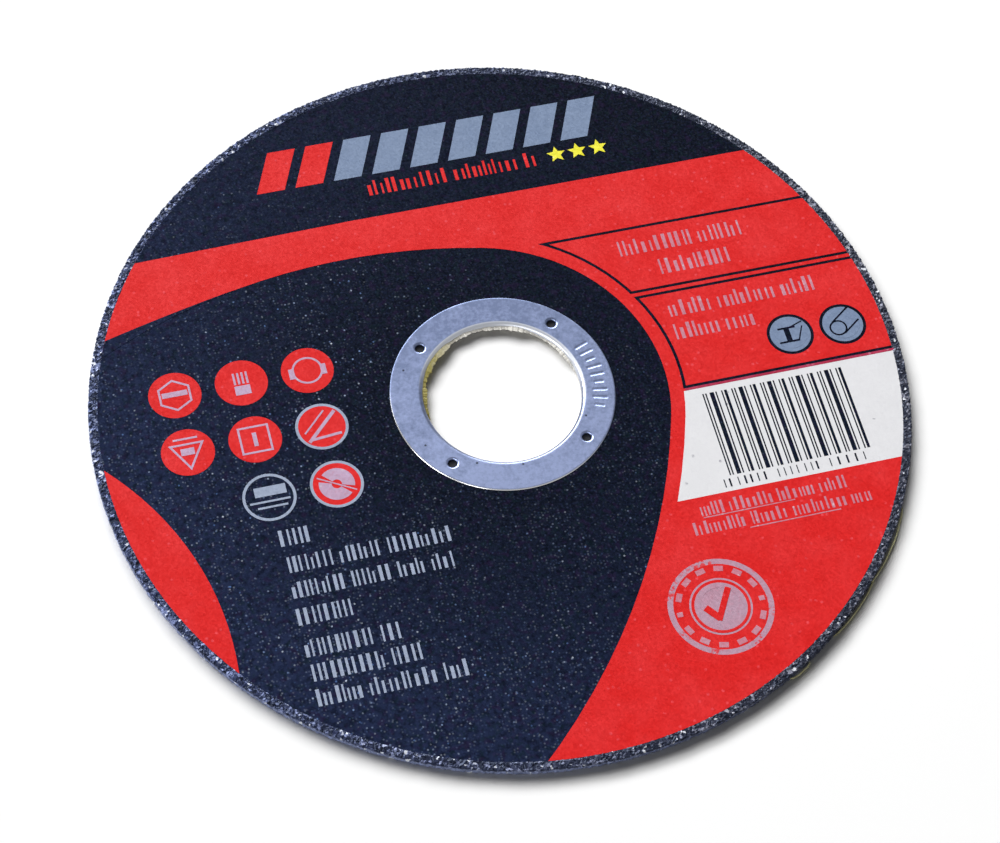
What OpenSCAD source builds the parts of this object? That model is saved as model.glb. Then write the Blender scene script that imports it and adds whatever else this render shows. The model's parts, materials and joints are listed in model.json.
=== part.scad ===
// Flat cut-off wheel with a flanged steel ring in its arbor hole.
// Millimetres, +Z up. The origin is on the arbor axis, on the back face. The printed face looks up.

/* [Disc] */
// Outside diameter of the wheel
disc_d = 115; // [105:1:150]
// Thickness of the bonded abrasive
disc_t = 1; // [0.9:0.1:3.2]
// Broken corner along both edges of the rim
rim_break = 0.08; // [0.02:0.01:0.2]
// How far the disc's own hole wall stands back from the collar above it
hole_relief = 0.03; // [0.01:0.01:0.1]

/* [Arbor ring] */
// Diameter of the arbor hole, inside the collar
arbor_d = 22.23; // [20:0.01:23]
// Outside diameter of the flange
flange_d = 31.8; // [30.5:0.1:36]
// Thickness of the sheet steel
sheet_t = 0.25; // [0.2:0.01:0.3]
// How far the flange stands out of the face
flange_proud = 0.15; // [0.08:0.01:0.2]
// Radius of the rolled inner edge, on the outside of the bend
roll_r = 0.7; // [0.6:0.01:0.75]
// Height of the ring, from the top of the flange to the foot of the collar
ring_h = 0.9; // [0.85:0.05:0.95]
// Rounded top edge of the sheared rim of the flange
flange_edge_r = 0.1; // [0.04:0.01:0.15]
// Gap between the ring's upright walls and the disc
seat_gap = 0.03; // [0.01:0.01:0.05]

/* [Pierced holes] */
// Number of holes through the flange
hole_count = 4; // [3:1:6]
// Angle of the first hole from +X
hole_angle = 45; // [0:1:90]
// Diameter of the circle that the holes lie on
hole_circle_d = 27.2; // [26.4:0.1:28]
// Diameter of a hole at its throat
hole_d = 1.3; // [1:0.1:1.5]
// Diameter of the drawn-in mouth on the flange's top
mouth_d = 1.8; // [1.7:0.1:2.2]
// Depth of the drawn-in mouth
mouth_depth = 0.2; // [0.1:0.01:0.24]
// How far the burr reaches below the sheet
burr_h = 0.22; // [0.1:0.01:0.3]
// Wall of the burr at its foot
burr_t = 0.1; // [0.06:0.01:0.15]

/* [Print layers] */
// Width of the bare rim outside the print
bare_rim = 1.15; // [0.8:0.05:4]
// Radius of print that the shapes below are drawn for, and scaled from for a wheel of another size
drawn_r = 56.35; // [54:0.05:58]
// Thickness of a film of ink
ink_t = 0.02; // [0.01:0.005:0.05]

/* [Red and dark fields] */
// Height of the straight top edge of the red band
band_top = 33.1; // [30:0.1:35]
// Crest of the dark lobe's upper arc
lobe_crest = [-16.1, 26.7];
// Radius of the upper arc
lobe_crest_r = 82.5; // [74:0.5:92]
// Point where the dark lobe's side arc would reach furthest
lobe_side = [26.7, 21.6];
// Radius of the side arc
lobe_side_r = 103; // [92:1:114]
// Radius of the round corner between the two arcs
lobe_corner_r = 26.2; // [22:0.2:29]
// Centre of the arc of the left field
left_field = [-90.7, -31.1];
// Radius of that arc
left_field_r = 46.2; // [43:0.1:48]

/* [Frames and panel] */
// Distance of frames and panel from the dark lobe
frame_gap = 2; // [1:0.1:3]
// Width of the frames' lines
frame_line = 0.45; // [0.2:0.05:0.6]
// Lower and upper edge of the upper frame
upper_frame = [11.95, 23.3];
// Lower and upper edge of the lower frame
lower_frame = [-5.05, 11.4];
// Lower and upper edge of the white panel
panel = [-22.4, -5.45];
// Distance of the row of bars from the right edge of the print
bars_inset = 7.85; // [7:0.05:10]
// Width of the row of bars
bars_w = 21.2; // [16:0.1:22]
// Lower and upper end of the bars
bars_y = [-20, -6.5];
// How many times the rhythm of the bars repeats
bar_groups = 5; // [3:1:6]

/* [Stripe at the top] */
// Lower and upper edge of the slanted stripe
stripe_y = [40.6, 47.6];
// Left and right end of the stripe
stripe_x = [-26.5, 26.5];
// Number of slanted bars in the stripe
stripe_count = 9; // [5:1:12]
// How many of them are red, from the left
stripe_red = 2; // [1:1:4]
// Dark gap between two slanted bars
stripe_gap = 1.6; // [0.8:0.1:2.5]
// How far the top of a bar leans to the right
stripe_lean = 3; // [0:0.1:5]
// Diameter of a yellow star, across its points
yellow_d = 2.9; // [2:0.1:3.1]
// Distance between two yellow stars
yellow_pitch = 3.2; // [3.1:0.1:4]
// Centre of the first yellow star
yellow_first = [18.1, 38.3];

/* [Round spots] */
// Diameter of a spot
spot_d = 7.4; // [6:0.1:9]
// Distance between two spots, both ways
spot_pitch = 9.4; // [9.2:0.1:10]
// Distance of the middle spot from the left edge of the print
spot_inset = 21.1; // [16:0.1:24]
// Height of the middle spot
spot_y = 0.1; // [-2:0.1:2]
// Width of the grey outline of a spot and of the dark ring in a grey spot
spot_line = 0.4; // [0.3:0.05:0.9]
// Diameter of the dark ring in a grey spot
spot_ring_d = 3.8; // [2.6:0.1:4.6]
// Diameter of the two grey spots in the lower frame
grey_spot_d = 6.8; // [5:0.1:7.4]
// Distance of the outer grey spot from the right edge of the print
grey_spot_inset = 5.9; // [5.5:0.1:8]
// Height of the grey spots
grey_spot_y = 0.4; // [-1:0.1:2]
// Distance between the two grey spots
grey_spot_pitch = 7.9; // [7.8:0.1:9]

/* [Target rings] */
// Centre of the rings in the red field
target = [20.2, -39.2];
// Outside diameter of the outer ring
target_d = 14.5; // [12:0.1:16]
// Width of a ring
target_line = 0.8; // [0.4:0.05:1.2]
// Outside diameter of the inner ring
target_inner_d = 8.6; // [7:0.1:10]
// Diameter of the spot in the middle
target_spot_d = 5.8; // [4:0.1:6.4]

/* [Hidden] */
$fn = 96;
disc_r = disc_d / 2;
arbor_r = arbor_d / 2;
flange_r = flange_d / 2;
flange_top = disc_t + flange_proud;
seat_z = flange_top - sheet_t;
collar_foot = flange_top - ring_h;
collar_r = arbor_r + sheet_t;
seat_r = flange_r + seat_gap;
bend_r = roll_r - sheet_t;
hole_r = hole_d / 2;
mouth_r = mouth_d / 2;
hole_circle_r = hole_circle_d / 2;
print_r = disc_r - bare_rim;
// Runs past whatever it cuts
past = 0.5;
// Reaches outside the disc from anywhere on it
far = 2 * disc_d;
arc_steps = 24;
// Widths of the bars and of the gaps after them, in turn, in narrowest bars
bar_rhythm = [1, 1, 1, 2, 3, 1, 1, 3, 1, 1, 2, 3];
// Sweep of the lobe's long arcs, which takes them off the disc
lobe_sweep = 60;
// Waist of a yellow star, as a share of its points' distance from the middle
star_waist = 0.45;
print_scale = print_r / drawn_r;
spot_middle = [spot_inset - drawn_r, spot_y];
grey_spot_outer = [drawn_r - grey_spot_inset, grey_spot_y];
lobe_crest_centre = lobe_crest - [0, lobe_crest_r];
lobe_side_centre = lobe_side - [lobe_side_r, 0];

function turn_of(v) = atan2(v.y, v.x);
function arc(centre, r, from, to) =
    [for (i = [0 : arc_steps]) let(a = from + (to - from) * i / arc_steps) centre + r * [cos(a), sin(a)]];
// Right-hand crossing of a circle about p with a circle about q
function crossing(p, p_r, q, q_r) =
    let(
        d = norm(q - p),
        along = (q - p) / d,
        x = (d * d + p_r * p_r - q_r * q_r) / (2 * d),
        off = sqrt(p_r * p_r - x * x)
    )
    p + x * along + off * [along.y, -along.x];
// Sum of the first n entries of a list
function sum_to(list, n) = n == 0 ? 0 : list[n - 1] + sum_to(list, n - 1);

lobe_corner = crossing(lobe_crest_centre, lobe_crest_r - lobe_corner_r,
                       lobe_side_centre, lobe_side_r - lobe_corner_r);
stripe_pitch = (stripe_x[1] - stripe_x[0] - stripe_lean + stripe_gap) / stripe_count;
bars_left = drawn_r - bars_inset - bars_w;
bar_group_w = bars_w / bar_groups;
bar_w = bar_group_w / sum_to(bar_rhythm, len(bar_rhythm));
// Column and row of each spot, counted from the middle one
red_spots = [[-1, 1], [0, 1], [1, 1], [-1, 0], [0, 0], [1, 0], [1, -1]];
outlined_spots = [[1, 0], [0, -1], [1, -1]];

module at_holes() {
    for (i = [0 : hole_count - 1])
        rotate(hole_angle + i * 360 / hole_count)
            translate([hole_circle_r, 0, 0])
                children();
}

// Moulded disc

module disc_section() {
    polygon([
        [arbor_r + hole_relief, 0],
        [disc_r - rim_break, 0],
        [disc_r, rim_break],
        [disc_r, disc_t - rim_break],
        [disc_r - rim_break, disc_t],
        [seat_r, disc_t],
        [seat_r, seat_z],
        [collar_r + bend_r, seat_z],
        [collar_r + seat_gap, seat_z - bend_r],
        [collar_r + seat_gap, collar_foot - seat_gap],
        [arbor_r + hole_relief, collar_foot - seat_gap]
    ]);
}

module burr_pocket() {
    translate([0, 0, seat_z - burr_h - seat_gap])
        cylinder(r1 = hole_r + burr_t + seat_gap, r2 = mouth_r + seat_gap, h = burr_h + seat_gap);
    translate([0, 0, seat_z])
        cylinder(r = mouth_r + seat_gap, h = past);
}

module abrasive_disc() {
    color([0.12, 0.13, 0.2])
        difference() {
            rotate_extrude() disc_section();
            at_holes() burr_pocket();
        }
}

// Pressed ring

module flange_section() {
    translate([arbor_r + roll_r, seat_z]) {
        square([flange_r - flange_edge_r - arbor_r - roll_r, sheet_t]);
        square([flange_r - arbor_r - roll_r, sheet_t - flange_edge_r]);
    }
    translate([flange_r - flange_edge_r, flange_top - flange_edge_r])
        circle(flange_edge_r);
}

module roll_section() {
    translate([arbor_r + roll_r, flange_top - roll_r])
        intersection() {
            difference() {
                circle(roll_r);
                circle(bend_r);
            }
            translate([-roll_r, 0])
                square(roll_r);
        }
}

module collar_section() {
    translate([arbor_r, collar_foot])
        square([sheet_t, ring_h - roll_r]);
}

module hole_cut() {
    translate([0, 0, seat_z - burr_h - past])
        cylinder(r = hole_r, h = burr_h + sheet_t + 2 * past);
    translate([0, 0, flange_top - mouth_depth])
        cylinder(r1 = hole_r, r2 = mouth_r, h = mouth_depth);
}

module burr() {
    translate([0, 0, seat_z - burr_h])
        cylinder(r1 = hole_r + burr_t, r2 = mouth_r, h = burr_h);
}

module arbor_ring() {
    color([0.68, 0.71, 0.78])
        difference() {
            union() {
                rotate_extrude() {
                    flange_section();
                    roll_section();
                    collar_section();
                }
                at_holes() burr();
            }
            at_holes() hole_cut();
        }
}

// Fields and shapes of the print, drawn flat

module face_outline() {
    difference() {
        circle(print_r);
        circle(seat_r);
    }
}

module lobe(grow = 0) {
    crest_turn = turn_of(lobe_corner - lobe_crest_centre);
    side_turn = turn_of(lobe_corner - lobe_side_centre);
    outline = concat(
        arc(lobe_crest_centre, lobe_crest_r + grow, crest_turn + lobe_sweep, crest_turn),
        arc(lobe_corner, lobe_corner_r + grow, crest_turn, side_turn),
        arc(lobe_side_centre, lobe_side_r + grow, side_turn, side_turn - lobe_sweep)
    );
    polygon(concat(outline, [[-far, -far], [-far, outline[0].y]]));
}

// Everything right of the lobe between two heights
module beside_lobe(span, gap) {
    difference() {
        translate([0, span[0]]) square([far, span[1] - span[0]]);
        lobe(gap);
    }
}

module frame_lines(span) {
    difference() {
        beside_lobe(span, frame_gap);
        beside_lobe(span + [frame_line, -frame_line], frame_gap + frame_line);
    }
}

module bars() {
    for (group = [0 : bar_groups - 1], i = [0 : 2 : len(bar_rhythm) - 1])
        translate([bars_left + group * bar_group_w + bar_w * sum_to(bar_rhythm, i), bars_y[0]])
            square([bar_w * bar_rhythm[i], bars_y[1] - bars_y[0]]);
}

module stripe(first, last) {
    for (i = [first : last])
        translate([stripe_x[0] + i * stripe_pitch, stripe_y[0]])
            polygon([
                [0, 0],
                [stripe_pitch - stripe_gap, 0],
                [stripe_pitch - stripe_gap + stripe_lean, stripe_y[1] - stripe_y[0]],
                [stripe_lean, stripe_y[1] - stripe_y[0]]
            ]);
}

module at_spots(cells) {
    for (cell = cells)
        translate(spot_middle + spot_pitch * cell)
            children();
}

module ring(d, line) {
    difference() {
        circle(d = d);
        circle(d = d - 2 * line);
    }
}

module star(d) {
    polygon([for (i = [0 : 9]) d / 2 * (i % 2 == 0 ? 1 : star_waist) * [cos(90 + 36 * i), sin(90 + 36 * i)]]);
}

module at_grey_spots() {
    for (i = [0 : 1])
        translate(grey_spot_outer - [i * grey_spot_pitch, 0])
            children();
}

module panel_shape() {
    beside_lobe(panel, frame_gap);
}

module grey_shape() {
    stripe(stripe_red, stripe_count - 1);
    at_spots(outlined_spots) ring(spot_d, spot_line);
    at_grey_spots() difference() {
        circle(d = grey_spot_d - 2 * frame_line);
        ring(spot_ring_d, spot_line);
    }
    translate(target) {
        ring(target_d, target_line);
        ring(target_inner_d, target_line);
        circle(d = target_spot_d);
    }
}

module red_shape() {
    difference() {
        union() {
            difference() {
                translate([-far, -far]) square([2 * far, far + band_top]);
                lobe();
            }
            translate(left_field) circle(left_field_r);
            stripe(0, stripe_red - 1);
            at_spots(red_spots) circle(d = spot_d);
        }
        frame_lines(upper_frame);
        frame_lines(lower_frame);
        panel_shape();
        at_grey_spots() circle(d = grey_spot_d);
        grey_shape();
    }
}

// Films of ink: the dark ground lies on the disc, and the colours lie side by side on the ground

module film(z) {
    translate([0, 0, z])
        linear_extrude(ink_t)
            intersection() {
                face_outline();
                children();
            }
}

module colour_film() {
    film(disc_t + ink_t) scale(print_scale) children();
}

module black_print() {
    color([0.09, 0.1, 0.16])
        film(disc_t) circle(print_r);
}

module red_print() {
    color([0.88, 0.18, 0.19])
        colour_film() red_shape();
}

module white_print() {
    color([0.92, 0.93, 0.94])
        colour_film() difference() {
            panel_shape();
            bars();
        }
}

module grey_print() {
    color([0.62, 0.66, 0.74])
        colour_film() grey_shape();
}

module yellow_print() {
    color([0.95, 0.88, 0.15])
        colour_film()
            for (i = [0 : 2])
                translate(yellow_first + [i * yellow_pitch, 0]) star(yellow_d);
}

abrasive_disc();
arbor_ring();
black_print();
red_print();
white_print();
grey_print();
yellow_print();
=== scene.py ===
# Looks of the cut-off wheel: printed face, broken grain at the rim, tin-plated ring in the arbor hole.

import json
import math
import random

import bpy
import numpy as np
from mathutils import Matrix, Vector, kdtree


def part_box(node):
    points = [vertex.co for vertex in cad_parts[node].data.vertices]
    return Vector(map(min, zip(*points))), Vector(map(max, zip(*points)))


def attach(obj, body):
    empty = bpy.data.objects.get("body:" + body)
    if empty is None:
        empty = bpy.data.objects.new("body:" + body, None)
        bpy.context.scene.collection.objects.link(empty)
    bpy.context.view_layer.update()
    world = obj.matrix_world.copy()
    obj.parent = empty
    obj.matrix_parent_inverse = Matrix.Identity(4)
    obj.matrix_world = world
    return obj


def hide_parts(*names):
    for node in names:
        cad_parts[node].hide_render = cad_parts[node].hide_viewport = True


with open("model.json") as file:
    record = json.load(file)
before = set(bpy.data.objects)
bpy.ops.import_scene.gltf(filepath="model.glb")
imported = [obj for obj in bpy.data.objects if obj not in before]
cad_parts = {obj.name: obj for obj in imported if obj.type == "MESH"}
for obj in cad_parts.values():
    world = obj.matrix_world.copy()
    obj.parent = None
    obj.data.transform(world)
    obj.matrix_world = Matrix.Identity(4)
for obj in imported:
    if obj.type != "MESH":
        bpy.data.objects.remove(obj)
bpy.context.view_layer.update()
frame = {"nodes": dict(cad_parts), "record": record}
scene = bpy.context.scene
scene.view_settings.view_transform = "Standard"

MM = 0.001


# Sizes read from the frame, in millimetres


def box_mm(node):
    low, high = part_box(node)
    return low / MM, high / MM


DISC_R = box_mm("abrasive_disc")[1].x
DISC_T = box_mm("abrasive_disc")[1].z
FLANGE_R = box_mm("arbor_ring")[1].x
FLANGE_TOP = box_mm("arbor_ring")[1].z
COLLAR_FOOT = box_mm("arbor_ring")[0].z
GROUND_TOP = box_mm("black_print")[1].z
COLOUR_TOP = box_mm("red_print")[1].z
PRINT_R = box_mm("black_print")[1].x
ARBOR_R = next(m["dims"]["r_mm"] for m in frame["record"]["mounts"] if m["name"] == "arbor_hole")
SHEET_T = 0.25
ROLL_R = 0.7


# Shader values as Python expressions


class Value:
    """One output of a shader node. Arithmetic and comparisons on it add Math nodes."""

    def __init__(self, shader_tree, socket):
        self.shader_tree = shader_tree
        self.socket = socket

    def maths(self, operation, first, second):
        return self.shader_tree.add("ShaderNodeMath", {"operation": operation}, {0: first, 1: second})

    def __add__(self, other):
        return self.maths("ADD", self, other)

    def __radd__(self, other):
        return self.maths("ADD", other, self)

    def __sub__(self, other):
        return self.maths("SUBTRACT", self, other)

    def __rsub__(self, other):
        return self.maths("SUBTRACT", other, self)

    def __mul__(self, other):
        return self.maths("MULTIPLY", self, other)

    def __rmul__(self, other):
        return self.maths("MULTIPLY", other, self)

    def __truediv__(self, other):
        return self.maths("DIVIDE", self, other)

    def __rtruediv__(self, other):
        return self.maths("DIVIDE", other, self)

    def __gt__(self, other):
        return self.maths("GREATER_THAN", self, other)

    def __lt__(self, other):
        return self.maths("LESS_THAN", self, other)


class ShaderTree:
    """The nodes of a material or of the world."""

    def __init__(self, tree):
        self.tree = tree

    def add(self, kind, settings=None, sockets=None, out=0):
        """A node of that kind: its settings are set first, then its sockets get values or links."""
        node = self.tree.nodes.new(kind)
        for name, value in (settings or {}).items():
            setattr(node, name, value)
        for key, value in (sockets or {}).items():
            if isinstance(value, Value):
                self.tree.links.new(value.socket, node.inputs[key])
            else:
                node.inputs[key].default_value = value
        return Value(self, node.outputs[out])


class Finish(ShaderTree):
    """A material with one Principled shader, and the patterns that several finishes share."""

    def __init__(self, name, **constants):
        self.material = bpy.data.materials.new(name)
        self.material.use_nodes = True
        super().__init__(self.material.node_tree)
        self.shader = self.tree.nodes["Principled BSDF"]
        for socket, value in constants.items():
            self.shader.inputs[socket.replace("_", " ")].default_value = value
        self.place = self.vector("SCALE", self.add("ShaderNodeTexCoord", out="Object"), scale=1 / MM)

    def set(self, **links):
        """Feeds the shader's sockets."""
        for socket, value in links.items():
            self.tree.links.new(value.socket, self.shader.inputs[socket.replace("_", " ")])

    def vector(self, operation, first, second=(0, 0, 0), scale=1):
        sockets = {0: first, "Scale": scale} if operation == "SCALE" else {0: first, 1: second}
        return self.add("ShaderNodeVectorMath", {"operation": operation}, sockets)

    def length(self, vector):
        return self.add("ShaderNodeVectorMath", {"operation": "LENGTH"}, {0: vector}, out="Value")

    def part_of(self, vector, axis):
        return self.add("ShaderNodeSeparateXYZ", None, {0: vector}, out=axis)

    def mix(self, factor, first, second):
        """A colour between two colours."""
        first, second = (c if isinstance(c, Value) else (*c, 1) for c in (first, second))
        return self.add("ShaderNodeMix", {"data_type": "RGBA"}, {0: factor, 6: first, 7: second}, out=2)

    def ramp(self, value, low, high):
        """0 at low, 1 at high, straight between them and level beyond."""
        return self.add("ShaderNodeMapRange", None, {"Value": value, "From Min": low, "From Max": high})

    def noise(self, size, detail=2, roughness=0.5, at=None):
        """Cloudy noise from 0 to 1, with features of that size in millimetres."""
        sockets = {"Vector": at or self.place, "Scale": 1 / size, "Detail": detail, "Roughness": roughness}
        return self.add("ShaderNodeTexNoise", None, sockets)

    def cells(self, size, out):
        """Random cells seen from above, of that size in millimetres: Color, or Distance from the middle."""
        sockets = {"Vector": self.place, "Scale": 1 / size}
        return self.add("ShaderNodeTexVoronoi", {"voronoi_dimensions": "2D"}, sockets, out=out)

    def bump(self, height, distance, strength, normal=None):
        """A normal from a height, with the distance in millimetres."""
        sockets = {"Height": height, "Distance": distance * MM, "Strength": strength}
        if normal:
            sockets["Normal"] = normal
        return self.add("ShaderNodeBump", None, sockets)

    def facets(self, size, tilt):
        """A normal that leans at random from grain to grain."""
        lean = self.vector("SUBTRACT", self.cells(size, "Color"), (0.5, 0.5, 0.5))
        normal = self.add("ShaderNodeNewGeometry", out="Normal")
        leaning = self.vector("ADD", normal, self.vector("SCALE", lean, scale=tilt))
        return self.vector("NORMALIZE", leaning)

    def specks(self, size, share, width):
        """Small spots in some of the cells, from 0 to 1: share is how many cells have one."""
        luck = self.part_of(self.cells(size, "Color"), "X")
        middle = self.ramp(self.cells(size, "Distance"), width, width * 0.5)
        return middle * (luck > 1 - share)


# Colours of the dark ground, with the size of its grain in millimetres

GRAIN = 0.27
NAVY = (0.0031, 0.0047, 0.0096)
NAVY_LOWER_LEFT = (0.0122, 0.0187, 0.0495)
NAVY_DEEP = (0.0015, 0.0022, 0.006)
NAVY_LIGHT = (0.014, 0.02, 0.055)
# Colours of painted glints: specks that stand in for grains catching the light
PAINTED_GLINT = (0.6, 0.66, 0.74)
PAINTED_GLINT_BLUE = (0.12, 0.24, 0.55)
INK_SHEEN = (0.55, 0.7, 1, 1)
SPECK_CLUSTER = (-19, 16, 0)
# Each hue, and the size of its patches
NAVY_HUES = [((0.004, 0.012, 0.016), 0.8), ((0.014, 0.007, 0.03), 1.1)]
# Painted glints: size of the cells, share of them that glint, glow, and how much more they glow round the
# cluster
NAVY_PAINTED_GLINTS = [(0.45, 0.4, 0.2, 0.05), (0.7, 0.18, 0.4, 0.2), (1.2, 0.22, 0.85, 0.6)]

# Colours of the inks: main, light and dark tone, and specks

RED_TONES = ((0.59, 0.011, 0.011), (0.63, 0.024, 0.026), (0.49, 0.006, 0.007), (0.68, 0.058, 0.072))
WHITE_TONES = ((0.64, 0.64, 0.66), (0.66, 0.66, 0.68), (0.61, 0.61, 0.64), (0.2, 0.2, 0.24))
YELLOW_TONES = ((0.67, 0.63, 0.02), (0.8, 0.76, 0.08), (0.66, 0.56, 0.02), (0.85, 0.8, 0.4))
LILAC_TONES = ((0.47, 0.175, 0.23), (0.48, 0.25, 0.32), (0.48, 0.11, 0.15), (0.55, 0.4, 0.46))
PALE_LILAC_TONES = ((0.43, 0.29, 0.41), (0.45, 0.35, 0.5), (0.43, 0.21, 0.29), (0.5, 0.42, 0.5))
CRIMSON_TONES = ((0.34, 0.018, 0.055), (0.42, 0.05, 0.11), (0.28, 0.01, 0.04), (0.5, 0.15, 0.22))

# Grey ink: full and thin colour, and the places on the face where it is steel blue or lilac

INK_GREY = (0.29, 0.34, 0.45)
INK_GREY_THIN = (0.22, 0.26, 0.36)
INK_STEEL = (0.17, 0.225, 0.34)
INK_STEEL_THIN = (0.13, 0.18, 0.29)
INK_LILAC = (0.4, 0.255, 0.335)
INK_LILAC_THIN = (0.43, 0.19, 0.26)
STEEL_ABOVE = 39
STEEL_RIGHT_OF = 35
LILAC_BELOW = -28
TARGET_MID = (20.2, -39.2)
TARGET_BAND_R = 5.75
TARGET_RING_FROM = TARGET_BAND_R + 0.55

# Colours of bonded grain, moulded back, tin plate and fibre

RESIN_DARK = (0.003, 0.004, 0.012)
RESIN_GREY = (0.039, 0.041, 0.062)
RESIN_BLUE = (0.037, 0.05, 0.13)
CLEAR_GREY = (0.32, 0.325, 0.395)
CLEAR_BLUE = (0.3, 0.36, 0.63)
# Painted light on the side wall of the rim at the lower left
PAINTED_LIT_SIDE = (0.3, 0.35, 0.56)
BRIGHT_GRAIN = (0.75, 0.78, 0.82)
BACK_DARK = (0.012, 0.012, 0.015)
BACK_LIGHT = (0.05, 0.05, 0.055)
BACK_THREAD = (0.2, 0.18, 0.1)
TIN = (0.34, 0.405, 0.645)
TIN_DARKER = (0.16, 0.2, 0.33)
TIN_SCRATCHED = (0.2, 0.22, 0.3)
# The next four: painted highlight and painted shade on the rolled edge, painted highlight and painted shade
# on the outer edge
TIN_PAINTED_HIGHLIGHT = (0.68, 0.71, 0.78)
TIN_PAINTED_SHADE = (0.1, 0.11, 0.15)
TIN_EDGE_HIGHLIGHT = (0.95, 0.96, 0.98)
TIN_EDGE_SHADE = (0.03, 0.04, 0.07)
TIN_PIT = (0.02, 0.02, 0.025)
OLIVE_DARK = (0.11, 0.09, 0.015)
OLIVE_RESIN = (0.4, 0.35, 0.1)
# Painted light: a lighter olive for the rim threads, which lie in shadow
OLIVE_PAINTED_LIGHT = (1, 0.98, 0.6)
FIBRE_DARK = (0.42, 0.4, 0.35)
FIBRE_PALE = (0.85, 0.83, 0.78)


# Finishes


def black_ink():
    """Dark ink on grain, lighter outwards from the ring towards the lower left, with sparse specks that are
    painted glints.
    """
    finish = Finish("black_ink", Specular_IOR_Level=0.02, Specular_Tint=INK_SHEEN)
    grain = finish.noise(GRAIN * 1.3, detail=1)
    aside = finish.part_of(finish.place, "X")
    along = finish.part_of(finish.place, "Y")
    # Lighter outwards from the ring and towards the lower left
    outwards = finish.ramp(finish.length(finish.place), 14, 50)
    lighter_lower_left = outwards * finish.ramp(0.85 * aside + 0.53 * along, 45, -45)
    body = finish.mix(lighter_lower_left, NAVY, NAVY_LOWER_LEFT)
    body = finish.mix(finish.ramp(finish.noise(0.9, detail=3), 0.46, 0.64) * 0.62, body, NAVY_DEEP)
    body = finish.mix(finish.ramp(grain, 0.5, 0.8) * 0.6, body, NAVY_LIGHT)
    for hue, size in NAVY_HUES:
        body = finish.mix(finish.ramp(finish.noise(size, detail=1), 0.55, 0.7) * 0.5, body, hue)
    # The painted glints grow denser towards the lower left, in clouds, and round the cluster
    clouds = finish.ramp(finish.noise(12, detail=2), 0.35, 0.7)
    painted_glint_spread = (0.3 + 0.9 * clouds) * finish.ramp(0.7 * aside + 0.7 * along, 25, -50)
    from_cluster = finish.vector("SUBTRACT", finish.place, SPECK_CLUSTER)
    cluster = finish.ramp(finish.length(from_cluster), 20, 5)
    for size, share, glow, near in NAVY_PAINTED_GLINTS:
        luck = finish.cells(size, "Color")
        bright = finish.ramp(finish.part_of(luck, "X"), 1 - share, 1)
        round_spot = finish.ramp(finish.cells(size, "Distance"), 0.18 / size, 0.05 / size)
        glint = finish.mix(finish.part_of(luck, "Y"), PAINTED_GLINT_BLUE, PAINTED_GLINT)
        amount = glow * bright * round_spot * (0.05 + painted_glint_spread + near * cluster)
        body = finish.mix(amount, body, glint)
    finish.set(
        Base_Color=body,
        Roughness=0.4 + 0.25 * grain,
        Normal=finish.bump(grain, 0.03, 0.5, finish.facets(GRAIN, 0.22)),
    )
    return finish.material


def colour_ink(name, tones, speck_share, tilt=0.12):
    """Matt ink that follows the grain below, with thin pale places and small soft specks."""
    main, light, dark, speck = tones
    finish = Finish(name, Specular_IOR_Level=0.1)
    clouds = finish.noise(5, detail=4, roughness=0.6)
    grain = finish.noise(GRAIN * 1.5, detail=1)
    toned = finish.mix(finish.ramp(clouds, 0.4, 0.75), main, light)
    toned = finish.mix(finish.ramp(grain, 0.52, 0.8) * 0.55, toned, dark)
    specks = finish.specks(GRAIN * 2.6, speck_share, 0.4) * finish.ramp(grain, 0.3, 0.7)
    finish.set(
        Base_Color=finish.mix(specks, toned, speck),
        Roughness=0.42 + 0.25 * grain,
        Normal=finish.bump(grain, 0.02, 0.5, finish.facets(GRAIN, tilt)),
    )
    return finish.material


def grey_ink():
    """Silver-grey ink: bluer in the stripe and at the right, lilac on the red field low on the face."""
    finish = Finish("grey_ink", Specular_IOR_Level=0.1)
    clouds = finish.noise(3, detail=4, roughness=0.6)
    grain = finish.noise(GRAIN * 1.5, detail=1)
    aside = finish.part_of(finish.place, "X")
    along = finish.part_of(finish.place, "Y")
    steel = finish.ramp((along > STEEL_ABOVE) + (aside > STEEL_RIGHT_OF), 0, 1)
    on_red = (along < LILAC_BELOW) * (aside > 0)
    full = finish.mix(on_red, finish.mix(steel, INK_GREY, INK_STEEL), INK_LILAC)
    thin = finish.mix(on_red, finish.mix(steel, INK_GREY_THIN, INK_STEEL_THIN), INK_LILAC_THIN)
    wear = finish.ramp(clouds, 0.42, 0.75) * 0.5 + finish.ramp(grain, 0.52, 0.8) * 0.5
    from_target = finish.vector("SUBTRACT", finish.place, (*TARGET_MID, COLOUR_TOP))
    target_ring = on_red * (finish.length(from_target) > TARGET_RING_FROM)
    wear_and_edge_highlight = finish.ramp(finish.noise(4, detail=1), 0.5, 0.58) * target_ring
    scuffs = finish.ramp(finish.noise(0.55, detail=3, roughness=0.6), 0.5, 0.58) * wear_and_edge_highlight
    finish.set(
        Base_Color=finish.mix(0.85 * scuffs, finish.mix(wear, full, thin), RED_TONES[0]),
        Roughness=0.42 + 0.25 * grain,
        Normal=finish.bump(grain, 0.02, 0.5, finish.facets(GRAIN, 0.12)),
    )
    return finish.material


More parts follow.
